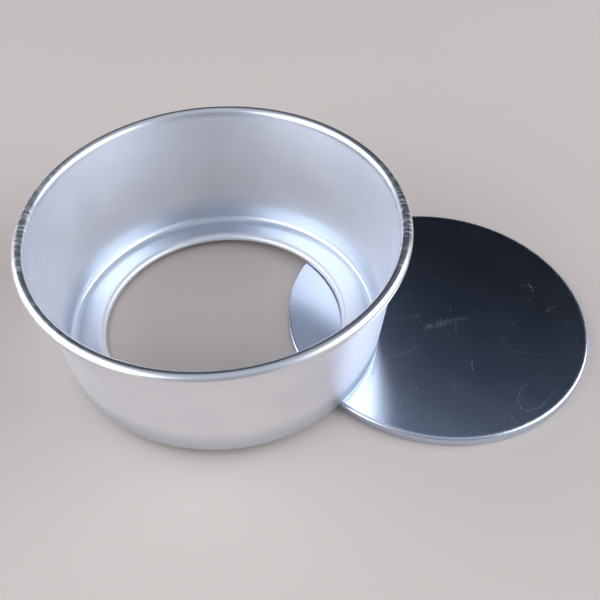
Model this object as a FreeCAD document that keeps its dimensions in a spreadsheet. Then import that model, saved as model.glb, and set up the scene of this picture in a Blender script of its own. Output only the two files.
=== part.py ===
"""A loose-bottom cake tin: a spun ring with a curled rim and an inward flange, and the disc that drops in.

The disc lies flat on the table. The ring stands beside it with its right side resting on the disc's edge.
Millimetres, +Z up, the table at Z = 0. +X points from the ring's centre to the disc's centre.
"""
import FreeCAD, Part
import Sketcher
import os
from math import acos, asin, atan2, cos, degrees, hypot, radians, sin
from FreeCAD import Placement, Rotation, Vector

SIZES = {
    # The ring. Its flange rises a little from the foot to the hole, and the hole's edge is turned down.
    "rim_diameter": 170.0,
    "tin_height": 65.5,
    "bead_radius": 2.6,
    "sheet_thickness": 1.0,
    "curl_gap": 0.3,
    "corner_radius": 3.5,
    "foot_diameter": 138.8,
    "flange_width": 13.6,
    "lip_radius": 2.4,
    "lip_level": 0.9,
    # The disc. It drops into the ring with this clearance to the wall, and its foot rests in the corner.
    "disc_clearance": 1.4,
    "disc_height": 4.85,
    "disc_thickness": 1.0,
    "disc_edge_radius": 1.4,
    "disc_foot_round": 0.5,
    # How the two stand together.
    "centre_distance": 102.0,
    "rest_gap": 0.05,
}

# Places worked out from the sizes above. The ring turns about the middle of its left corner's bend until its
# foot meets the disc where the foot's circle crosses the rim of the disc's flat top.
DERIVED = {
    "foot_radius": "=foot_diameter / 2",
    "hole_radius": "=foot_radius - flange_width",
    "disc_radius": "=foot_radius + corner_radius - disc_clearance",
    "flat_radius": "=disc_radius - disc_edge_radius",
    "contact_x": "=(centre_distance ^ 2 + foot_radius ^ 2 - flat_radius ^ 2) / (2 * centre_distance)",
    "tilt_sine": "=(disc_height + rest_gap) / (contact_x + foot_radius)",
    "tilt_angle": "=asin(tilt_sine)",
    "pivot_x": "=-foot_radius",
    "pivot_z": "=corner_radius + sheet_thickness",
    "bead_x": "=pivot_x * (1 - cos(tilt_angle)) - (tin_height - bead_radius - pivot_z) * tilt_sine",
    "left_end": "=bead_x - (rim_diameter / 2 - bead_radius) * cos(tilt_angle) - bead_radius",
    "middle_x": "=(left_end + centre_distance + disc_radius) / 2",
}

# The numbers by which a constraint names the points of a line or an arc, and the sketch's origin.
START, END, CENTRE = range(1, 4)
ORIGIN = (-1, START)


def make_sheet(doc):
    sheet = doc.addObject("Spreadsheet::Sheet", "Sizes")
    cells = {name: str(value) for name, value in SIZES.items()}
    cells.update(DERIVED)
    for row, (name, content) in enumerate(cells.items(), start=1):
        sheet.set(f"A{row}", name)
        sheet.setAlias(f"B{row}", name)
        sheet.set(f"B{row}", content)
    doc.recompute()
    return sheet


def point(x, y):
    return Vector(x, y, 0)


def toward(centre, radius, angle):
    """The point at that radius and angle in degrees from a centre."""
    return centre + point(radius * cos(radians(angle)), radius * sin(radians(angle)))


class Section:
    """A closed outline in its body's XZ plane, held by constraints whose dimensions read the sheet."""

    def __init__(self, body, name):
        self.sketch = body.newObject("Sketcher::SketchObject", name)
        plane = next(item for item in body.Origin.OriginFeatures if item.Role == "XZ_Plane")
        self.sketch.AttachmentSupport = (plane, [""])
        self.sketch.MapMode = "FlatFace"

    def line(self, start, end):
        return self.sketch.addGeometry(Part.LineSegment(start, end), False)

    def arc(self, centre, radius, first, last):
        circle = Part.Circle(centre, Vector(0, 0, 1), radius)
        return self.sketch.addGeometry(Part.ArcOfCircle(circle, radians(first), radians(last)), False)

    def rule(self, kind, *where):
        return self.sketch.addConstraint(Sketcher.Constraint(kind, *where))

    def size(self, name, formula, kind, *where):
        """A dimension bound to the sheet."""
        index = self.rule(kind, *where)
        self.sketch.renameConstraint(index, name)
        self.sketch.setExpression(f"Constraints.{name}", formula)

    def smooth(self, *joints):
        for joint in joints:
            self.rule("Tangent", *joint)

    def meet(self, *joints):
        for joint in joints:
            self.rule("Coincident", *joint)


def ring_section(body, sheet):
    """One sheet: turned-down lip, flange, rounded corner, tapered wall and hollow curled rim."""
    size = sheet.get
    thick = size("sheet_thickness")
    hole = size("hole_radius")
    lip = size("lip_radius")
    corner = size("corner_radius")
    bead = size("bead_radius")

    # Centres of the three bends: the lip, the corner and the bead.
    lip_at = point(hole + lip, size("lip_level"))
    corner_at = point(size("foot_radius"), corner + thick)
    bead_at = point(size("rim_diameter") / 2 - bead, size("tin_height") - bead)
    # The flange's upper face leaves the lip on its upper side and meets the corner on its lower side.
    along = corner_at - lip_at
    fall = degrees(asin((lip + corner) / hypot(along.x, along.y)) - atan2(along.y, along.x))
    over = 90 - fall
    low = -90 - fall
    # The wall's inner face leaves the corner on its outer side and runs up to the bead's inner side.
    across = bead_at - corner_at
    lean = degrees(atan2(across.x, across.y) - asin((corner + bead) / hypot(across.x, across.y)))
    out = -lean
    back = 180 - lean
    tuck = back + degrees(acos((bead - thick - size("curl_gap")) / bead)) - 360

    s = Section(body, "RingSection")
    lip_end = s.line(toward(lip_at, lip, 180), toward(lip_at, lip - thick, 180))
    lip_under = s.arc(lip_at, lip - thick, over, 180)
    flange_under = s.line(toward(lip_at, lip - thick, over), toward(corner_at, corner + thick, low))
    corner_out = s.arc(corner_at, corner + thick, low, out)
    wall_out = s.line(toward(corner_at, corner + thick, out), toward(bead_at, bead - thick, back))
    bead_in = s.arc(bead_at, bead - thick, tuck, back)
    curl_end = s.line(toward(bead_at, bead - thick, tuck), toward(bead_at, bead, tuck))
    bead_out = s.arc(bead_at, bead, tuck, back)
    wall_in = s.line(toward(bead_at, bead, back), toward(corner_at, corner, out))
    corner_in = s.arc(corner_at, corner, low, out)
    flange_top = s.line(toward(corner_at, corner, low), toward(lip_at, lip, over))
    lip_over = s.arc(lip_at, lip, over, 180)

    s.smooth((lip_under, START, flange_under, START), (flange_under, END, corner_out, START),
             (corner_out, END, wall_out, START), (wall_out, END, bead_in, END),
             (bead_out, END, wall_in, START), (wall_in, END, corner_in, END),
             (corner_in, START, flange_top, START), (flange_top, END, lip_over, START))
    s.meet((lip_over, END, lip_end, START), (lip_end, END, lip_under, END),
           (bead_in, START, curl_end, START), (curl_end, END, bead_out, START),
           (lip_over, CENTRE, lip_under, CENTRE), (corner_in, CENTRE, corner_out, CENTRE),
           (bead_in, CENTRE, bead_out, CENTRE))
    s.rule("Horizontal", lip_end)
    s.rule("PointOnObject", lip_over, CENTRE, lip_end)
    s.rule("PointOnObject", bead_out, CENTRE, curl_end)
    s.size("hole", "Sizes.hole_radius", "DistanceX", *ORIGIN, lip_end, START, hole)
    s.size("level", "Sizes.lip_level", "DistanceY", *ORIGIN, lip_end, START, lip_at.y)
    s.size("lip", "Sizes.lip_radius", "Radius", lip_over, lip)
    s.size("underlip", "Sizes.lip_radius - Sizes.sheet_thickness", "Radius", lip_under, lip - thick)
    s.size("foot", "Sizes.foot_radius", "DistanceX", *ORIGIN, corner_in, CENTRE, corner_at.x)
    s.size("lift", "Sizes.pivot_z", "DistanceY", *ORIGIN, corner_in, CENTRE, corner_at.y)
    s.size("corner", "Sizes.corner_radius", "Radius", corner_in, corner)
    s.size("outside", "Sizes.corner_radius + Sizes.sheet_thickness", "Radius", corner_out, corner + thick)
    s.size("bead", "Sizes.bead_radius", "Radius", bead_out, bead)
    s.size("hollow", "Sizes.bead_radius - Sizes.sheet_thickness", "Radius", bead_in, bead - thick)
    s.size("rim", "Sizes.rim_diameter / 2 - Sizes.bead_radius", "DistanceX", *ORIGIN, bead_out, CENTRE,
           bead_at.x)
    s.size("top", "Sizes.tin_height - Sizes.bead_radius", "DistanceY", *ORIGIN, bead_out, CENTRE, bead_at.y)
    s.size("tuck", "Sizes.curl_gap", "Distance", curl_end, END, wall_out, size("curl_gap"))
    return s.sketch


def disc_section(body, sheet):
    """One sheet: a flat top, a rounded edge and a short skirt with a softened foot."""
    size = sheet.get
    radius = size("disc_radius")
    height = size("disc_height")
    thick = size("disc_thickness")
    bend = size("disc_edge_radius")
    foot = size("disc_foot_round")
    bend_at = point(radius - bend, height - bend)

    s = Section(body, "DiscSection")
    top = s.line(point(0, height), point(radius - bend, height))
    edge_out = s.arc(bend_at, bend, 0, 90)
    skirt_out = s.line(point(radius, height - bend), point(radius, foot))
    foot_round = s.arc(point(radius - foot, foot), foot, -90, 0)
    foot_flat = s.line(point(radius - foot, 0), point(radius - thick, 0))
    skirt_in = s.line(point(radius - thick, 0), point(radius - thick, height - bend))
    edge_in = s.arc(bend_at, bend - thick, 0, 90)
    under = s.line(point(radius - bend, height - thick), point(0, height - thick))
    middle = s.line(point(0, height - thick), point(0, height))

    s.smooth((top, END, edge_out, END), (edge_out, START, skirt_out, START),
             (skirt_out, END, foot_round, END), (foot_round, START, foot_flat, START),
             (skirt_in, END, edge_in, START), (edge_in, END, under, START))
    s.meet((foot_flat, END, skirt_in, START), (under, END, middle, START), (middle, END, top, START),
           (edge_in, CENTRE, edge_out, CENTRE))
    s.rule("Horizontal", top)
    s.rule("Horizontal", under)
    s.rule("Vertical", skirt_out)
    s.rule("Horizontal", foot_flat)
    s.rule("Horizontal", *ORIGIN, foot_flat, END)
    s.rule("Vertical", skirt_in)
    s.rule("Vertical", *ORIGIN, top, START)
    s.rule("Vertical", middle)
    s.size("height", "Sizes.disc_height", "DistanceY", *ORIGIN, top, START, height)
    s.size("radius", "Sizes.disc_radius", "DistanceX", *ORIGIN, skirt_out, START, radius)
    s.size("inside", "Sizes.disc_radius - Sizes.disc_thickness", "DistanceX", *ORIGIN, foot_flat, END,
           radius - thick)
    s.size("bend", "Sizes.disc_edge_radius", "Radius", edge_out, bend)
    s.size("foot", "Sizes.disc_foot_round", "Radius", foot_round, foot)
    return s.sketch


def spun(doc, sheet, label, section):
    """A piece spun from one section, once round its body's upright axis."""
    body = doc.addObject("PartDesign::Body", label)
    body.Label = label
    sketch = section(body, sheet)
    turned = body.newObject("PartDesign::Revolution", f"{label}_turned")
    turned.Profile = sketch
    turned.ReferenceAxis = (sketch, ["V_Axis"])
    turned.Angle = 360
    body.Tip = turned
    return body


def make_ring(doc, sheet):
    """The ring, tipped about its left corner so that its right side stands on the disc."""
    body = spun(doc, sheet, "tin_shell", ring_section)
    body.Placement = Placement(Vector(), Rotation(Vector(0, -1, 0), 1))
    body.setExpression("Placement.Rotation.Angle", "Sizes.tilt_angle")
    body.setExpression("Placement.Base.x", "Sizes.pivot_x * (1 - cos(Sizes.tilt_angle))"
                                           " + Sizes.pivot_z * Sizes.tilt_sine - Sizes.middle_x")
    body.setExpression("Placement.Base.z", "Sizes.pivot_z * (1 - cos(Sizes.tilt_angle))"
                                           " - Sizes.pivot_x * Sizes.tilt_sine")
    return body


def make_disc(doc, sheet):
    body = spun(doc, sheet, "loose_bottom", disc_section)
    body.setExpression("Placement.Base.x", "Sizes.centre_distance - Sizes.middle_x")
    return body


def check(doc, bodies):
    failed = [item.Label for item in doc.Objects if {"Invalid", "Error"} & set(item.State)]
    if failed:
        raise RuntimeError(f"objects failed: {failed}")
    for body in bodies:
        if body.Shape.isNull() or not body.Shape.isValid() or len(body.Shape.Solids) != 1:
            raise RuntimeError(f"{body.Label} is not one valid solid")


def main():
    doc = FreeCAD.newDocument("cake_tin")
    sheet = make_sheet(doc)
    bodies = [make_ring(doc, sheet), make_disc(doc, sheet)]
    doc.recompute()
    check(doc, bodies)
    os.makedirs("parts", exist_ok=True)
    for body in bodies:
        body.Shape.exportStep(f"parts/{body.Label}.step")
        box = body.Shape.BoundBox
        print(f"{body.Label}: {body.Shape.Volume / 1000:.2f} cm3, X {box.XMin:.2f} to {box.XMax:.2f}, "
              f"Y {box.YMin:.2f} to {box.YMax:.2f}, Z {box.ZMin:.2f} to {box.ZMax:.2f}")


main()
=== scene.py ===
# %% [markdown]
# # A loose-bottom cake tin
#
# The tin is two pieces of thin aluminium. The ring has a rim curled outwards, a wall that leans out a little
# and, at the foot, a narrow flange that rises towards the hole and ends in a turned-down lip. The loose
# bottom is a plain disc with a short skirt. The disc lies on the table and the ring stands beside it, with
# one side up on the disc.
#
# The places come from a construction model, which is loaded as a fixed frame. Its bends are made of a few
# flat facets, and bright metal shows every one of them, so both pieces are modelled again here with fine
# bends. After that comes how bare aluminium looks: satin where it was etched and anodised, bright where it
# was rolled or burnished, and scratched where it was handled.

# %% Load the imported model
import bpy
from math import acos, asin, atan2, cos, degrees, pi, radians, sin
from mathutils import Matrix, Vector


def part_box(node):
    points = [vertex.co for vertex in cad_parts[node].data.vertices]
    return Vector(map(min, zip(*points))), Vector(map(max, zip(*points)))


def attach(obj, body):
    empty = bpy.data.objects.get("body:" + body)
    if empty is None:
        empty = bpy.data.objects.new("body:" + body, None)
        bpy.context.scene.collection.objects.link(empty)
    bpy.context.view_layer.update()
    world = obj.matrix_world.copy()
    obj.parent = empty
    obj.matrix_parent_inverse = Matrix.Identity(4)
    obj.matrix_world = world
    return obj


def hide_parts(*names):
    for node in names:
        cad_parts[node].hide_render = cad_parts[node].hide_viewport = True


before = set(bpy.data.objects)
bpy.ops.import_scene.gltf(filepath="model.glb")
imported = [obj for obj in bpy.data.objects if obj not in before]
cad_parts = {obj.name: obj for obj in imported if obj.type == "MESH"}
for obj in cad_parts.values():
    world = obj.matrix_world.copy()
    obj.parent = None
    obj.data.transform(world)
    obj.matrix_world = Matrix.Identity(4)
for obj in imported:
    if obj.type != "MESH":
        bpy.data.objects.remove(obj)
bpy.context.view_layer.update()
ring_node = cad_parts["tin_shell"]
disc_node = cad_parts["loose_bottom"]
MM = 0.001

# %% [markdown]
# ## Where the two pieces are
#
# The patterns on the metal follow the turning of each piece, so they need its axis. The disc lies flat, and
# the middle of its box is its axis. The ring is tipped: its foot touches the table on the left and its right
# side stands on the disc. The tilt is read from the two ends of the rim, which is easier than working it out
# from the heights.

# %% The axis of each piece
ring_low, ring_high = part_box("tin_shell")
disc_low, disc_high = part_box("loose_bottom")
disc_middle = (disc_low + disc_high) / 2
disc_radius = (disc_high.x - disc_low.x) / 2
disc_height = disc_high.z - disc_low.z

left_rim = min((v.co for v in ring_node.data.vertices), key=lambda p: p.x)
right_rim = max((v.co for v in ring_node.data.vertices), key=lambda p: p.x)
tilt = atan2(right_rim.z - left_rim.z, right_rim.x - left_rim.x)
print("tilt of the ring:", round(degrees(tilt), 2), "degrees")
print("radius of the disc:", round(disc_radius / MM, 1), "mm")

# %% [markdown]
# ## The camera
#
# The camera looks down at the table at about 45 degrees, a little from the left of straight on. Its place,
# its lens and the small shift of its frame were worked out from the outlines of the rim, the hole and the
# disc. It is aimed from the middle of the ring's foot, so it keeps its place when the pair is moved.

# %% The camera
CAMERA_DROP = radians(45.564)
CAMERA_HEADING = radians(-2.835)
CAMERA_ROLL = radians(0.865)
CAMERA_DISTANCE = 446.5 * MM
FOOT_TO_DISC = 102.0 * MM
AIM_ALONG = 27.47 * MM
AIM_ACROSS = 35.33 * MM
SENSOR_MM = 36
LENS_MM = 52.60
FRAME_SHIFT = (0.0297, -0.0434)

foot_middle = Vector((disc_middle.x - FOOT_TO_DISC, 0, 0))
heading = Matrix.Rotation(CAMERA_HEADING, 4, "Z")
aim = foot_middle + heading @ Vector((AIM_ALONG, AIM_ACROSS, 0))
away = heading @ Vector((0, -cos(CAMERA_DROP), sin(CAMERA_DROP)))
look = Matrix.Rotation(pi / 2 - CAMERA_DROP, 4, "X") @ Matrix.Rotation(CAMERA_ROLL, 4, "Z")

lens = bpy.data.cameras.new("camera")
lens.sensor_width = SENSOR_MM
lens.lens = LENS_MM
lens.shift_x, lens.shift_y = FRAME_SHIFT
camera = bpy.data.objects.new("camera", lens)
camera.matrix_world = Matrix.Translation(aim + away * CAMERA_DISTANCE) @ heading @ look
bpy.context.scene.collection.objects.link(camera)
bpy.context.scene.camera = camera
print("middle of the ring's foot, x:", round(foot_middle.x / MM, 3), "mm")
print("camera at", [round(v, 3) for v in camera.matrix_world.translation])

# %% [markdown]
# ## The ring, from one section
#
# The real ring starts as a flat sheet. A press draws it to a cup, a roller curls its edge and a punch cuts
# out the middle. Its section could be drawn as a closed outline. It is easier to draw only the inner face as
# a chain of points, turn that chain once round the axis and let Solidify give it the sheet's thickness. A
# straight stretch is one extrude, and a bend is one spin of the last point.

# %% Sizes of the ring
SHEET = 1.0 * MM
RIM_RADIUS = 85.0 * MM
RIM_HEIGHT = 65.5 * MM
BEAD = 2.6 * MM
CURL_GAP = 0.3 * MM
FOOT_RADIUS = 69.4 * MM
CORNER = 3.5 * MM
HOLE_RADIUS = 55.8 * MM
LIP = 2.4 * MM
LIP_LEVEL = 0.9 * MM
LIP_STEPS = 14
CORNER_STEPS = 18
CURL_STEPS = 54
TURNS = 288
MERGE_WITHIN = 0.01 * MM
print("rim", round(2 * RIM_RADIUS / MM, 1), "mm and hole", round(2 * HOLE_RADIUS / MM, 1), "mm across")

# %% Where the bends have their middles
def at(angle, radius=1.0):
    """A step in the section, which lies in the XZ plane, at that angle up from the X axis."""
    return Vector((cos(angle), 0, sin(angle))) * radius


lip_middle = Vector((HOLE_RADIUS + LIP, 0, LIP_LEVEL))
corner_middle = Vector((FOOT_RADIUS, 0, SHEET + CORNER))
bead_middle = Vector((RIM_RADIUS - BEAD, 0, RIM_HEIGHT - BEAD))
along = corner_middle - lip_middle
fall = asin((LIP + CORNER) / along.length) - atan2(along.z, along.x)
rise = bead_middle - corner_middle
lean = atan2(rise.x, rise.z) - asin((CORNER + BEAD) / rise.length)
curl = 2 * pi - acos((BEAD - SHEET - CURL_GAP) / BEAD)
print("flange falls outwards by", round(degrees(fall), 2), "degrees")
print("wall leans out by", round(degrees(lean), 2), "degrees")
print("curl turns by", round(degrees(curl)), "degrees")

# %% Helpers for drawing a section
def only(thing):
    """Selects one object and nothing else."""
    bpy.ops.object.select_all(action="DESELECT")
    thing.select_set(True)
    bpy.context.view_layer.objects.active = thing


def first_point(name, place):
    """A new object in edit mode that holds one point."""
    bpy.ops.object.select_all(action="DESELECT")
    bpy.ops.mesh.primitive_plane_add(size=SHEET, location=(0, 0, 0))
    piece = bpy.context.object
    piece.name = piece.data.name = name
    bpy.ops.object.mode_set(mode="EDIT")
    bpy.ops.mesh.merge(type="CENTER")
    bpy.ops.transform.translate(value=place)
    return piece


def pull(step):
    """One straight stretch from the last point."""
    bpy.ops.mesh.extrude_region_move(TRANSFORM_OT_translate={"value": step})


def bend(middle, turn, steps):
    """One bend from the last point. A positive turn goes anticlockwise in the section."""
    bpy.ops.mesh.spin(steps=steps, angle=turn, center=middle, axis=(0, 1, 0))

# %% Draw the inner face and turn it
ring_piece = first_point("cake_tin_ring", (HOLE_RADIUS, 0, LIP_LEVEL))
bend(lip_middle, -pi / 2 - fall, LIP_STEPS)
pull(corner_middle - at(pi / 2 - fall, CORNER) - lip_middle - at(pi / 2 - fall, LIP))
bend(corner_middle, pi / 2 + fall - lean, CORNER_STEPS)
pull(bead_middle + at(pi - lean, BEAD) - corner_middle - at(-lean, CORNER))
bend(bead_middle, -curl, CURL_STEPS)
bpy.ops.mesh.select_all(action="SELECT")
bpy.ops.mesh.spin(steps=TURNS, angle=2 * pi, center=(0, 0, 0), axis=(0, 0, 1))
bpy.ops.mesh.select_all(action="SELECT")
bpy.ops.mesh.remove_doubles(threshold=MERGE_WITHIN)
bpy.ops.mesh.normals_make_consistent(inside=False)
bpy.ops.object.mode_set(mode="OBJECT")
print("faces of the inner face:", len(ring_piece.data.polygons))

# %% Give it its thickness
only(ring_piece)
sheet = ring_piece.modifiers.new("sheet", "SOLIDIFY")
sheet.thickness = SHEET
sheet.offset = -1
sheet.use_even_offset = True
bpy.ops.object.modifier_apply(modifier="sheet")
print("faces with the thickness:", len(ring_piece.data.polygons))

# %% Helpers for a finished piece
SMOOTH_UNDER = radians(30)


def smooth(piece):
    """Shades the bends round and keeps the sheet's cut edges sharp."""
    only(piece)
    bpy.ops.object.shade_smooth_by_angle(angle=SMOOTH_UNDER)


def compare(piece, low, high):
    """Prints where the piece starts and ends, beside the node that it stands for."""
    for i, side in ((0, "x"), (2, "z")):
        places = [v.co[i] for v in piece.data.vertices]
        made = [round(v / MM, 2) for v in (min(places), max(places))]
        print(piece.name, side, made, "node", [round(v / MM, 2) for v in (low[i], high[i])])

# %% Tip the ring onto the disc
only(ring_piece)
bpy.ops.object.mode_set(mode="EDIT")
bpy.ops.mesh.select_all(action="SELECT")
bpy.ops.transform.rotate(value=tilt, orient_axis="Y", center_override=(0, 0, 0))
bpy.ops.object.mode_set(mode="OBJECT")
spots = [v.co for v in ring_piece.data.vertices]
lowest = Vector((min(p.x for p in spots), 0, min(p.z for p in spots)))
ring_place = Vector((ring_low.x, 0, ring_low.z)) - lowest
bpy.ops.object.mode_set(mode="EDIT")
bpy.ops.transform.translate(value=ring_place)
bpy.ops.object.mode_set(mode="OBJECT")
smooth(ring_piece)
compare(ring_piece, ring_low, ring_high)
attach(ring_piece, "root")
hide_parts("tin_shell")

# %% [markdown]
# ## The disc
#
# The loose bottom is pressed from one sheet: a flat top, a rounded edge and a short skirt. It could be turned
# from a section like the ring. A cylinder is shorter to shape: its underside is inset and pushed up to leave
# the skirt, its top edge is bevelled to the bend of the sheet, and its foot is rounded a little where the
# sheet was cut.

# %% Helpers that pick faces and edges
NEAR = 0.02 * MM


def choose(piece, kind, wanted):
    """Enters edit mode with only those edges or faces selected, and prints how many there are."""
    only(piece)
    bpy.ops.object.mode_set(mode="EDIT")
    bpy.ops.mesh.select_mode(type=kind)
    bpy.ops.mesh.select_all(action="DESELECT")
    bpy.ops.object.mode_set(mode="OBJECT")
    chosen = [part for part in {"EDGE": piece.data.edges, "FACE": piece.data.polygons}[kind] if wanted(part)]
    for part in chosen:
        part.select = True
    bpy.ops.object.mode_set(mode="EDIT")
    print("chosen:", len(chosen), kind)


def on_circle(piece, radius, height):
    """A test for edges that lie along one circle round the axis."""
    points = piece.data.vertices

    def test(edge):
        ends = [points[i].co for i in edge.vertices]
        return all(abs(p.xy.length - radius) < NEAR and abs(p.z - height) < NEAR for p in ends)
    return test

# %% The disc
DISC_EDGE = 1.4 * MM
DISC_FOOT = 0.5 * MM
EDGE_STEPS = 12
FOOT_STEPS = 6
FACING_DOWN = -0.9

bpy.ops.object.select_all(action="DESELECT")
bpy.ops.mesh.primitive_cylinder_add(vertices=TURNS, radius=disc_radius, depth=disc_height,
                                    end_fill_type="NGON", location=(0, 0, disc_height / 2))
disc_piece = bpy.context.object
disc_piece.name = disc_piece.data.name = "cake_tin_bottom"
bpy.ops.object.transform_apply(location=True)
choose(disc_piece, "FACE", lambda face: face.normal.z < FACING_DOWN)
bpy.ops.mesh.inset(thickness=SHEET)
bpy.ops.mesh.extrude_region_move(TRANSFORM_OT_translate={"value": (0, 0, disc_height - SHEET)})
bpy.ops.object.mode_set(mode="OBJECT")
choose(disc_piece, "EDGE", on_circle(disc_piece, disc_radius, disc_height))
bpy.ops.mesh.bevel(offset=DISC_EDGE, segments=EDGE_STEPS)
bpy.ops.object.mode_set(mode="OBJECT")
choose(disc_piece, "EDGE", on_circle(disc_piece, disc_radius, 0))
bpy.ops.mesh.bevel(offset=DISC_FOOT, segments=FOOT_STEPS)
bpy.ops.mesh.select_all(action="SELECT")
bpy.ops.transform.translate(value=(disc_middle.x, disc_middle.y, 0))
bpy.ops.object.mode_set(mode="OBJECT")
smooth(disc_piece)
compare(disc_piece, disc_low, disc_high)
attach(disc_piece, "root")
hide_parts("loose_bottom")

# %% [markdown]
# ## Helpers for the materials
#
# Colours are written as sRGB hex values, the way a picture editor shows them, and one function turns them to
# linear values, which are what light is reckoned with. Another small function adds a node, sets it and links
# it, so that a material reads from top to bottom like a list.
#
# The node met most often is Map Range as a soft step. Its inputs are the value, the two ends of the range,
# and what comes out below and above it. Without the last two, it gives 0 below the range and 1 above.

# %% Helpers
SOFT = {"interpolation_type": "SMOOTHSTEP"}


def linear(hex_colour):
    """An sRGB hex colour as linear RGBA."""
    channels = [int(hex_colour[i:i + 2], 16) / 255 for i in (1, 3, 5)]
    return [c / 12.92 if c <= 0.04045 else ((c + 0.055) / 1.055) ** 2.4 for c in channels] + [1.0]


def add(tree, kind, inputs=(), **settings):
    """Adds a node with its settings and links, and returns its outputs.

    The inputs are a list in the order of the node's sockets, or a dictionary by their numbers or names. Each is a
    number, a colour, a vector or an output of another node.
    """
    node = tree.nodes.new("ShaderNode" + kind)
    for name, value in settings.items():
        setattr(node, name, value)
    for socket, value in inputs.items() if isinstance(inputs, dict) else enumerate(inputs):
        if isinstance(value, bpy.types.NodeSocket):
            tree.links.new(value, node.inputs[socket])
        else:
            node.inputs[socket].default_value = value
    return node.outputs


def metal(name, colour, roughness):
    """A bare metal: its tree and its shader, with the uniform values on the shader's own sockets."""
    material = bpy.data.materials.new(name)
    material.use_nodes = True
    shader = material.node_tree.nodes["Principled BSDF"]
    shader.inputs["Metallic"].default_value = 1
    shader.inputs["Base Color"].default_value = linear(colour)
    shader.inputs["Roughness"].default_value = roughness
    return material, material.node_tree, shader

# %% [markdown]
# ## The ring's metal
#
# The sheet is etched and anodised after it is drawn, which leaves a soft satin skin: it mirrors broad light
# and dark but no outline. Rollers press the rim so hard that the bead is burnished, and the sharp bends at
# the foot are half burnished.
#
# Three materials on three groups of faces would leave hard borders between them. So one material runs over
# the whole ring, and its roughness follows the distance from the bead and the height over the foot. Both are
# measured from the ring's own axis, which is tipped.

# %% Satin aluminium: places on the ring
WALL_ROUGHNESS = 0.50
satin, tree, shader = metal("satin_aluminium_spun", "#EDEDF1", WALL_ROUGHNESS)
coordinates = add(tree, "TexCoord")["Object"]
turned_back = {"Vector": coordinates, "Location": ring_place, "Rotation": (0, -tilt, 0)}
own = add(tree, "Mapping", turned_back, vector_type="TEXTURE")[0]
side, across, height = add(tree, "SeparateXYZ", [own])
flat = add(tree, "CombineXYZ", (side, across))[0]
out = add(tree, "VectorMath", [flat], operation="LENGTH")["Value"]
turn = add(tree, "Math", (across, side), operation="ARCTAN2")[0]
arc = add(tree, "Math", (turn, RIM_RADIUS), operation="MULTIPLY")[0]
print("the ring's own origin, mm:", [round(v / MM, 2) for v in ring_place])

# %% Satin aluminium: what is bead and what is foot
# The bead is all that lies within a little more than its radius of its middle circle. The foot is the corner
# and the flange, as far in as the lip.
BEAD_ENDS = (2.65 * MM, 3.0 * MM)
FOOT_ENDS = (6 * MM, 18 * MM)
LIP_ENDS = (HOLE_RADIUS + LIP, HOLE_RADIUS + 2 * LIP)

bead_out = add(tree, "Math", (out, RIM_RADIUS - BEAD), operation="SUBTRACT")[0]
bead_up = add(tree, "Math", (height, RIM_HEIGHT - BEAD), operation="SUBTRACT")[0]
from_bead = add(tree, "CombineXYZ", (bead_out, bead_up))[0]
bead_away = add(tree, "VectorMath", [from_bead], operation="LENGTH")["Value"]
on_bead = add(tree, "MapRange", (bead_away, *BEAD_ENDS, 1, 0), **SOFT)[0]
off_bead = add(tree, "Math", (1.0, on_bead), operation="SUBTRACT")[0]
low_down = add(tree, "MapRange", (height, *FOOT_ENDS, 1, 0), **SOFT)[0]
past_lip = add(tree, "MapRange", (out, *LIP_ENDS), **SOFT)[0]
at_foot = add(tree, "Math", (low_down, past_lip), operation="MULTIPLY")[0]
print("the bead ends between", [round(v / MM, 2) for v in BEAD_ENDS], "mm from its middle circle")

# %% [markdown]
# ## The skin of the satin metal
#
# Three things keep it from looking like paint: the fine grain of the etch, the faint rings that the drawing
# tool leaves round the wall, and slow clouds where the etch bit unevenly. Real etch grain is finer than a
# pixel, so it is drawn at 0.4 mm, as fine as still shows.

# %% Satin aluminium: its skin
ETCH_GRAIN = 0.4 * MM
TOOL_RINGS = 0.9 * MM
ALONG_A_RING = 0.012
CLOUDS = 28 * MM
UNEVEN = 0.012
# Most of the noise lies between these values, so a soft step between them uses its whole change.
CLOUD_RANGE = (0.3, 0.7)
RING_RANGE = (0.35, 0.65)
FOOT_ROUGHNESS = 0.35
BEAD_ROUGHNESS = 0.30

grain = add(tree, "TexNoise", {"Vector": own, "Scale": 1 / ETCH_GRAIN})["Fac"]
drawn = add(tree, "VectorMath", (own, (ALONG_A_RING, ALONG_A_RING, 1)), operation="MULTIPLY")[0]
rings = add(tree, "TexNoise", {"Vector": drawn, "Scale": 1 / TOOL_RINGS, "Detail": 3.0})["Fac"]
cloud = add(tree, "TexNoise", {"Vector": own, "Scale": 1 / CLOUDS})["Fac"]

rough = add(tree, "MapRange", (at_foot, 0, 1, WALL_ROUGHNESS, FOOT_ROUGHNESS), **SOFT)[0]
for pattern, ends in ((cloud, CLOUD_RANGE), (rings, RING_RANGE)):
    change = add(tree, "MapRange", (pattern, *ends, -UNEVEN, UNEVEN), **SOFT)[0]
    rough = add(tree, "Math", (rough, change), operation="ADD")[0]
to_bead = add(tree, "Math", (BEAD_ROUGHNESS, rough), operation="SUBTRACT")[0]
rough = add(tree, "Math", (to_bead, on_bead, rough), operation="MULTIPLY_ADD")[0]
print("roughness of wall, foot and bead:", WALL_ROUGHNESS, FOOT_ROUGHNESS, BEAD_ROUGHNESS)

# %% [markdown]
# ## Knocks and scuffs on the ring
#
# A tin that is stacked and banged out gets short pale ticks across its rim, and faint upright scuffs low on
# the wall. They could be cut into the mesh, but they are only a fraction of a millimetre deep. So they are
# noise that is stretched along the knock and cut to its highest places, where the metal is rougher.

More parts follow.
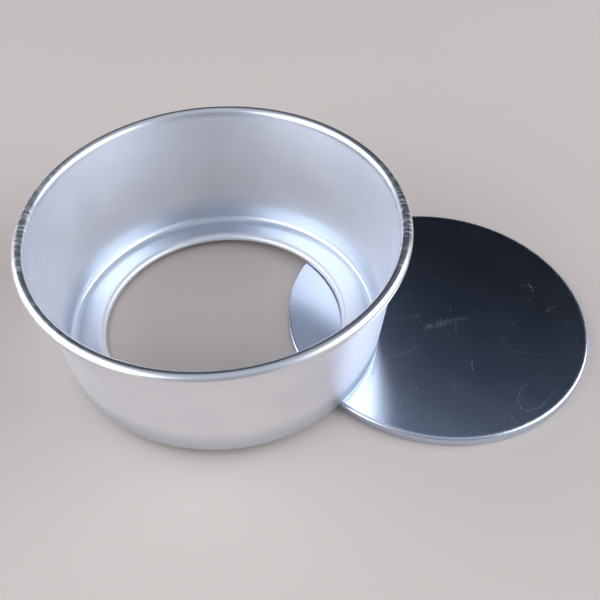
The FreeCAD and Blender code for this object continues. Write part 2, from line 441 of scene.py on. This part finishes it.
# %% Satin aluminium: ticks across the bead
TICK_WIDTH = 0.6 * MM
COMB_WIDTH = 0.5 * MM
TICK_STRETCH = 0.06
PATCHES = 6 * MM
WORN_LEFT = (-78 * MM, -55 * MM)
WORN_RIGHT = (70 * MM, 80 * MM)
COMB_LEFT = (-62 * MM, -25 * MM)
# Where each noise is cut: there is nothing below the first value, and all of it above the second.
TICK_CUT = (0.58, 0.66)
PATCH_CUT = (0.35, 0.50)
COMB_CUT = (0.52, 0.60)

round_bead = add(tree, "CombineXYZ", (arc, bead_out, bead_up))[0]
stretch = (1, TICK_STRETCH, TICK_STRETCH)
bead_skin = add(tree, "VectorMath", (round_bead, stretch), operation="MULTIPLY")[0]
ticks = add(tree, "TexNoise", {"Vector": bead_skin, "Scale": 1 / TICK_WIDTH, "Detail": 0.0})["Fac"]
ticks = add(tree, "MapRange", (ticks, *TICK_CUT), **SOFT)[0]
worn_left = add(tree, "MapRange", (side, *WORN_LEFT, 1, 0), **SOFT)[0]
worn_right = add(tree, "MapRange", (side, *WORN_RIGHT), **SOFT)[0]
worn = add(tree, "Math", (worn_left, worn_right), operation="MAXIMUM")[0]
patches = add(tree, "TexNoise", {"Vector": own, "Scale": 1 / PATCHES})["Fac"]
patches = add(tree, "MapRange", (patches, *PATCH_CUT), **SOFT)[0]

# A finer comb of ticks lies on the left half alone.
comb = add(tree, "TexNoise", {"Vector": bead_skin, "Scale": 1 / COMB_WIDTH, "Detail": 0.0})["Fac"]
comb = add(tree, "MapRange", (comb, *COMB_CUT), **SOFT)[0]
comb_side = add(tree, "MapRange", (side, *COMB_LEFT, 1, 0), **SOFT)[0]
print("ticks and comb, mm wide:", round(TICK_WIDTH / MM, 2), round(COMB_WIDTH / MM, 2))

# %% Satin aluminium: scuffs low on the wall
SCUFF_WIDTH = 0.8 * MM
SCUFF_STRETCH = 0.08
SCUFF_HEIGHT = (6 * MM, 22 * MM)
SCUFF_CUT = (0.60, 0.72)

upright = add(tree, "Math", (height, SCUFF_STRETCH), operation="MULTIPLY")[0]
wall_skin = add(tree, "CombineXYZ", (arc, upright))[0]
scuffs = add(tree, "TexNoise", {"Vector": wall_skin, "Scale": 1 / SCUFF_WIDTH})["Fac"]
scuffs = add(tree, "MapRange", (scuffs, *SCUFF_CUT), **SOFT)[0]
scuffed = add(tree, "MapRange", (height, *SCUFF_HEIGHT, 1, 0), **SOFT)[0]
print("scuffs end at", round(SCUFF_HEIGHT[1] / MM), "mm over the foot")

# %% Satin aluminium: all its wear
KNOCK_DEPTH = 0.30
COMB_DEPTH = 0.14
SCUFF_DEPTH = 0.05

WEAR = (
    ((ticks, worn, patches, on_bead), KNOCK_DEPTH),
    ((comb, comb_side, on_bead), COMB_DEPTH),
    ((scuffs, scuffed, off_bead), SCUFF_DEPTH),
)
for masks, depth in WEAR:
    wear = masks[0]
    for mask in masks[1:]:
        wear = add(tree, "Math", (wear, mask), operation="MULTIPLY")[0]
    rough = add(tree, "Math", (wear, depth, rough), operation="MULTIPLY_ADD")[0]
tree.links.new(rough, shader.inputs["Roughness"])
print("kinds of wear on the ring:", len(WEAR))

# %% Satin aluminium: tint, painted shade at the foot, and grain
GRAIN_DEPTH = 0.006 * MM
TINT_RANGE = (0.25, 0.75)

cloudy = add(tree, "MapRange", (cloud, *TINT_RANGE), **SOFT)[0]
tone_and_foot_shade = add(tree, "Mix", {0: cloudy, 6: linear("#E9EAEF"), 7: linear("#F0F0F3")}, data_type="RGBA")[2]
# At the corner and the flange the base colour turns darker and bluer. This is painted shade, standing in for the
# light that the hollow foot loses between its walls.
tone_and_foot_shade = add(tree, "Mix", {0: at_foot, 6: tone_and_foot_shade, 7: linear("#D9DFE8")}, data_type="RGBA")[2]
tree.links.new(tone_and_foot_shade, shader.inputs["Base Color"])
relief = add(tree, "Math", (grain, off_bead), operation="MULTIPLY")[0]
bump = add(tree, "Bump", {"Height": relief, "Distance": GRAIN_DEPTH, "Strength": 1.0})[0]
tree.links.new(bump, shader.inputs["Normal"])
ring_piece.data.materials.append(satin)
ring_node.material_slots[0].material = satin
print("nodes in the satin metal:", len(tree.nodes))

# %% [markdown]
# ## The disc's metal
#
# The disc is flat rolled sheet, brighter than the ring, and it mirrors the dark side of the room. That dark
# mirror shows each fine scratch as a pale line, because the broken skin throws light in all directions. So a
# scratch needs no colour and no depth of its own: it is a thin line of rougher metal.

# %% Bright aluminium: its skin
SMOOTHEST = 0.195
DULLEST = 0.21
DISC_CLOUDS = 22 * MM

bright, tree, shader = metal("rolled_bright_aluminium", "#CFD8E8", DULLEST)
coordinates = add(tree, "TexCoord")["Object"]
own = add(tree, "VectorMath", (coordinates, (disc_middle.x, disc_middle.y, 0)), operation="SUBTRACT")[0]
side, across = add(tree, "SeparateXYZ", [own])[:2]
top = add(tree, "CombineXYZ", (side, across))[0]
cloud = add(tree, "TexNoise", {"Vector": top, "Scale": 1 / DISC_CLOUDS, "Detail": 3.0})["Fac"]
rough = add(tree, "MapRange", (cloud, *CLOUD_RANGE, SMOOTHEST, DULLEST), **SOFT)[0]
print("roughness of the disc:", SMOOTHEST, "to", DULLEST)

# %% [markdown]
# ## The scratches that can be told apart
#
# The larger scratches each have a place of their own, so they are chosen one by one and not left to noise.
# Each is a chain of points on the top face, in mm from the disc's middle, with its width in mm and how much
# rougher it is than the skin. A real scratch is never quite straight or even, so a slow noise bends the line
# and a fine one breaks it.

# %% Bright aluminium: where the scratches are
SCRIBBLE = (
    (((-21.5, -2.8), (-7.7, -0.6)), 2.4, 0.05),
    (((-6.5, -8.3), (1.0, -6.6), (13.6, -3.2)), 5.0, 0.05),
    (((-6.6, -9.6), (-4.2, -6.4)), 1.2, 0.10),
    (((-4.8, -9.4), (-3.0, -5.8)), 0.9, 0.08),
    (((-1.9, -7.9), (0.4, -3.8)), 0.9, 0.08),
    (((0.6, -7.0), (2.0, -3.4)), 0.8, 0.09),
    (((2.9, -6.2), (5.2, -2.6)), 0.9, 0.09),
    (((5.0, -5.9), (8.0, -2.3)), 0.8, 0.08),
    (((0.2, -5.0), (13.6, -3.0)), 0.9, 0.08),
    (((8.4, -5.6), (7.8, -11.2)), 0.8, 0.13),
)
CROSSES = (
    (((45.6, 17.8), (52.7, 16.2)), 0.7, 0.16),
    (((49.1, 19.7), (50.6, 13.5)), 0.8, 0.18),
    (((53.2, 0.2), (58.4, 3.3)), 0.6, 0.13),
    (((55.0, 3.4), (55.2, 0.1)), 0.5, 0.13),
)
CURVES = (
    (((28.6, -14.3), (28.8, -18.0), (31.7, -24.1), (46.4, -26.9)), 0.5, 0.09),
    (((33.7, -43.2), (29.7, -47.0), (27.7, -51.8), (28.3, -56.7), (30.3, -57.8)), 0.5, 0.14),
    (((30.3, -57.8), (37.0, -55.4), (42.2, -50.7), (45.6, -46.4)), 0.5, 0.13),
    (((-23.9, -25.4), (-15.6, -22.1), (-10.5, -19.2)), 0.6, 0.09),
)
NICKS = (
    (((11.6, -28.8), (11.1, -34.0)), 0.7, 0.22),
    (((22.8, -59.7), (24.6, -63.4)), 0.6, 0.14),
    (((7.2, 2.7), (7.6, 2.9)), 1.0, 0.18),
    (((63.6, -16.7), (64.0, -16.5)), 0.9, 0.22),
    (((-5.2, -60.9), (-4.8, -60.9)), 0.9, 0.22),
    (((35.7, -7.7), (35.9, -7.5)), 0.8, 0.18),
    (((-34.1, -29.2), (-33.9, -29.2)), 0.8, 0.18),
)
SMEARS = (
    (((18.5, 60.3), (24.1, 61.8)), 1.4, 0.05),
    (((24.1, 61.8), (31.2, 56.9), (35.5, 54.4)), 1.6, 0.05),
)
scratches = SCRIBBLE + CROSSES + CURVES + NICKS + SMEARS
print("scratches placed one by one:", len(scratches))

# %% Bright aluminium: draw those scratches
BREAKS = 0.9 * MM
BREAK_CUT = (0.38, 0.58)
FAINTEST = 0.15
DRIFT_LENGTH = 4 * MM
DRIFT = 1.2 * MM
MIDDLE_OF_NOISE = (0.5, 0.5, 0.5)


def stroke(tree, where, start, end, width):
    """One straight scratch with round ends: 1 on its line, and 0 from half its width away."""
    start, end = Vector((*start, 0)) * MM, Vector((*end, 0)) * MM
    way = end - start
    since = add(tree, "VectorMath", (where, start), operation="SUBTRACT")[0]
    part = add(tree, "VectorMath", (since, way / way.length_squared), operation="DOT_PRODUCT")["Value"]
    part = add(tree, "Clamp", [part])[0]
    nearest = add(tree, "VectorMath", {0: way, "Scale": part}, operation="SCALE")[0]
    gap = add(tree, "VectorMath", (since, nearest), operation="SUBTRACT")[0]
    gap = add(tree, "VectorMath", [gap], operation="LENGTH")["Value"]
    return add(tree, "MapRange", (gap, 0.0, width / 2 * MM, 1, 0), **SOFT)[0]


broken = add(tree, "TexNoise", {"Vector": top, "Scale": 1 / BREAKS, "Detail": 3.0})["Fac"]
broken = add(tree, "MapRange", (broken, *BREAK_CUT, FAINTEST, 1), **SOFT)[0]
wobble = add(tree, "TexNoise", {"Vector": top, "Scale": 1 / DRIFT_LENGTH})["Color"]
wobble = add(tree, "VectorMath", (wobble, MIDDLE_OF_NOISE), operation="SUBTRACT")[0]
wobble = add(tree, "VectorMath", (wobble, (DRIFT, DRIFT, 0)), operation="MULTIPLY")[0]
drifted = add(tree, "VectorMath", (top, wobble), operation="ADD")[0]
marks = 0.0
for points, width, strength in scratches:
    for start, end in zip(points, points[1:]):
        mark = stroke(tree, drifted, start, end, width)
        marks = add(tree, "Math", (mark, strength, marks), operation="MULTIPLY_ADD")[0]
rough = add(tree, "Math", (marks, broken, rough), operation="MULTIPLY_ADD")[0]
print("straight strokes:", sum(len(points) - 1 for points, width, strength in scratches))

# %% [markdown]
# ## Hairlines, specks and the rubbed border
#
# The rest of the wear has no place of its own, so noise may place it. Wiping leaves hairlines that run in a
# few directions, grit leaves specks, and the edge of the top face is rubbed pale where it slides against
# other tins.

# %% Bright aluminium: hairlines and specks
# Each direction of hairlines is a noise that is drawn out to 25 times its width and cut to its highest
# places.
HAIRLINE_TURNS = (radians(12), radians(74), radians(131))
HAIRLINE_WIDTH = 0.5 * MM
HAIRLINE_STRETCH = 25
HAIRLINE_CUT = (0.64, 0.75)
HAIRLINE_DEPTH = 0.04
for angle in HAIRLINE_TURNS:
    line = {"Vector": drifted, "Rotation": (0, 0, angle), "Scale": (HAIRLINE_STRETCH, 1, 1)}
    turned = add(tree, "Mapping", line, vector_type="TEXTURE")[0]
    hairs = add(tree, "TexNoise", {"Vector": turned, "Scale": 1 / HAIRLINE_WIDTH, "Detail": 1.0})["Fac"]
    hairs = add(tree, "MapRange", (hairs, *HAIRLINE_CUT, 0, HAIRLINE_DEPTH), **SOFT)[0]
    rough = add(tree, "Math", (rough, hairs), operation="ADD")[0]

# One speck in each cell of a net, as a share of the cell, and each as deep as its cell's own random number.
SPECK_NET = 4 * MM
SPECK_SIZE = (0.04, 0.08)
SPECK_CUT = (0.3, 1.0)
SPECK_DEPTH = 0.12
net = add(tree, "TexVoronoi", {"Vector": top, "Scale": 1 / SPECK_NET})
speck_chance = add(tree, "SeparateColor", [net["Color"]])[0]
speck_chance = add(tree, "MapRange", (speck_chance, *SPECK_CUT), **SOFT)[0]
specks = add(tree, "MapRange", (net["Distance"], *SPECK_SIZE, 1, 0), **SOFT)[0]
specks = add(tree, "Math", (specks, speck_chance), operation="MULTIPLY")[0]
rough = add(tree, "Math", (specks, SPECK_DEPTH, rough), operation="MULTIPLY_ADD")[0]
print("directions of hairlines:", len(HAIRLINE_TURNS))

# %% Bright aluminium: the rubbed border
# The border starts just inside the rounded edge, so that the skirt stays clean.
BORDER_STARTS = (0.3 * MM, 0.9 * MM)
BORDER_ENDS = (1.4 * MM, 2.2 * MM)
NICK_LENGTH = 0.8 * MM
NICK_CUT = (0.45, 0.60)
NICK_FAINTEST = 0.2
NICK_DEPTH = 0.14

from_middle = add(tree, "VectorMath", [top], operation="LENGTH")["Value"]
edge = add(tree, "Math", (disc_radius, from_middle), operation="SUBTRACT")[0]
inside = add(tree, "MapRange", (edge, *BORDER_STARTS), **SOFT)[0]
outside = add(tree, "MapRange", (edge, *BORDER_ENDS, 1, 0), **SOFT)[0]
border = add(tree, "Math", (inside, outside), operation="MULTIPLY")[0]
nicks = add(tree, "TexNoise", {"Vector": top, "Scale": 1 / NICK_LENGTH, "Detail": 3.0})["Fac"]
nicks = add(tree, "MapRange", (nicks, *NICK_CUT, NICK_FAINTEST, 1), **SOFT)[0]
rubbed = add(tree, "Math", (border, nicks), operation="MULTIPLY")[0]
rough = add(tree, "Math", (rubbed, NICK_DEPTH, rough), operation="MULTIPLY_ADD")[0]
tree.links.new(rough, shader.inputs["Roughness"])
disc_piece.data.materials.append(bright)
disc_node.material_slots[0].material = bright
print("nodes in the bright metal:", len(tree.nodes))

# %% [markdown]
# ## The floor
#
# The tin stands on a plain matt sheet of warm pale paper. It takes the soft shadow that shows where the ring
# touches down, and the front of the wall mirrors it as one even tone.

# %% The floor
FLOOR_HALF = 3.0
PAPER_ROUGHNESS = 0.9
bpy.ops.object.select_all(action="DESELECT")
bpy.ops.mesh.primitive_plane_add(size=2 * FLOOR_HALF, location=(0, 0, 0))
floor = bpy.context.object
floor.name = "floor"
paper = bpy.data.materials.new("pale_paper")
paper.use_nodes = True
paper.node_tree.nodes["Principled BSDF"].inputs["Base Color"].default_value = linear("#C8BCB3")
paper.node_tree.nodes["Principled BSDF"].inputs["Roughness"].default_value = PAPER_ROUGHNESS
floor.data.materials.append(paper)
print("floor, metres across:", 2 * FLOOR_HALF)

# %% [markdown]
# ## The lamps
#
# Two large soft boxes stand to the left and the right. Small lamps would burn white spots into the bead and
# the corner. Large weak ones draw long soft lines along them, and leave the back of the room dark for the
# disc to mirror.

# %% The lamps
LAMP_COLOUR = "#EDF4FF"
# Each lamp: its name, its place, its width and height in metres, and its power in watts.
LAMPS = (
    ("left_softbox", (-1.4, -0.25, 0.75), 2.4, 1.5, 27),
    ("right_softbox", (1.35, -0.1, 0.85), 1.5, 1.1, 19),
)
for name, place, width, tall, power in LAMPS:
    lamp = bpy.data.lights.new(name, "AREA")
    lamp.shape = "RECTANGLE"
    lamp.size, lamp.size_y = width, tall
    lamp.energy = power
    lamp.color = linear(LAMP_COLOUR)[:3]
    box = bpy.data.objects.new(name, lamp)
    box.location = place
    box.rotation_euler = (-Vector(place)).to_track_quat("-Z", "Y").to_euler()
    bpy.context.scene.collection.objects.link(box)
    print(name, round(Vector(place).length, 2), "m from the tin")

# %% [markdown]
# ## The room
#
# Bare metal has hardly a colour of its own, so most of what is seen on it is the room. A built room with
# walls would do. It is simpler to colour each direction by two things: its height, and how far it is turned
# from straight back. The back is dark up to a pale ceiling, and that gives the disc its black mirror. The
# sides are nearly white, which keeps the ring bright, and the front is a dim grey.

# %% The room: where it is dark
# Turned from straight back, to the left below 0 and to the right above it.
DARK_FROM = (radians(-62), radians(-42))
DARK_TO = (radians(54), radians(72))
# In a narrow strip near the middle of the back, the pale ceiling reaches lower down.
LOW_CEILING_FROM = (radians(-13), radians(-6))
LOW_CEILING_TO = (radians(3), radians(9.5))
LOW_CEILING_BY = 0.2
LOW_CEILING_ABOVE = (0.65, 0.72)

world = bpy.data.worlds.new("studio")
bpy.context.scene.world = world
world.use_nodes = True
air = world.node_tree
direction = add(air, "TexCoord")["Generated"]
right, back, up = add(air, "SeparateXYZ", [direction])
turned = add(air, "Math", (right, back), operation="ARCTAN2")[0]
dark_left = add(air, "MapRange", (turned, *DARK_FROM), **SOFT)[0]
dark_right = add(air, "MapRange", (turned, *DARK_TO, 1, 0), **SOFT)[0]
dark_side = add(air, "Math", (dark_left, dark_right), operation="MULTIPLY")[0]
strip_right = add(air, "MapRange", (turned, *LOW_CEILING_TO, LOW_CEILING_BY, 0), **SOFT)[0]
strip_left = add(air, "MapRange", (turned, *LOW_CEILING_FROM), **SOFT)[0]
strip_up = add(air, "MapRange", (up, *LOW_CEILING_ABOVE), **SOFT)[0]
strip = add(air, "Math", (strip_right, strip_left), operation="MULTIPLY")[0]
dark_height = add(air, "Math", (strip, strip_up, up), operation="MULTIPLY_ADD")[0]
print("the dark back is", round(degrees(DARK_TO[1] - DARK_FROM[0])), "degrees wide with its soft ends")

# %% The room: its walls
CEILING = "#B4BAC6"
BACK_WALL = (
    (0.0, "#4A4F58"), (0.3, "#1C222C"), (0.62, "#070A12"), (0.70, "#0B101A"),
    (0.79, "#202836"), (0.83, "#3D4859"), (0.92, "#98A1B0"), (1.0, CEILING),
)
FRONT_WALL = ((0.0, "#8E8C8E"), (0.25, "#8C919C"), (1.0, CEILING))
SIDE_WALL = ((0.0, "#B4B2B4"), (0.15, "#F4F8FE"), (0.7, "#F4F8FE"), (1.0, CEILING))
SIDEWAYS = (0.4, 0.75)
SEEN_BY_CAMERA = "#D6D3D0"


def wall(height, colours):
    """One wall of the room: its colours by height, where 0 is level and 1 is straight up."""
    painted = add(air, "ValToRGB", [height])[0]
    ramp = painted.node.color_ramp
    for position, _ in colours[1:-1]:
        ramp.elements.new(position)
    for stop, (position, colour) in zip(ramp.elements, colours):
        stop.position = position
        stop.color = linear(colour)
    return painted


back_wall = wall(dark_height, BACK_WALL)
front_wall = wall(up, FRONT_WALL)
side_wall = wall(up, SIDE_WALL)
to_side = add(air, "Math", [right], operation="ABSOLUTE")[0]
to_side = add(air, "MapRange", (to_side, *SIDEWAYS), **SOFT)[0]
pale_walls = add(air, "Mix", {0: to_side, 6: front_wall, 7: side_wall}, data_type="RGBA")[2]
mirrored = add(air, "Mix", {0: dark_side, 6: pale_walls, 7: back_wall}, data_type="RGBA")[2]
seen = add(air, "LightPath")["Is Camera Ray"]
air_colour = add(air, "Mix", {0: seen, 6: mirrored, 7: linear(SEEN_BY_CAMERA)}, data_type="RGBA")[2]
air.links.new(air_colour, air.nodes["Background"].inputs["Color"])
bpy.context.scene.view_settings.view_transform = "Standard"
print("nodes in the room:", len(air.nodes))
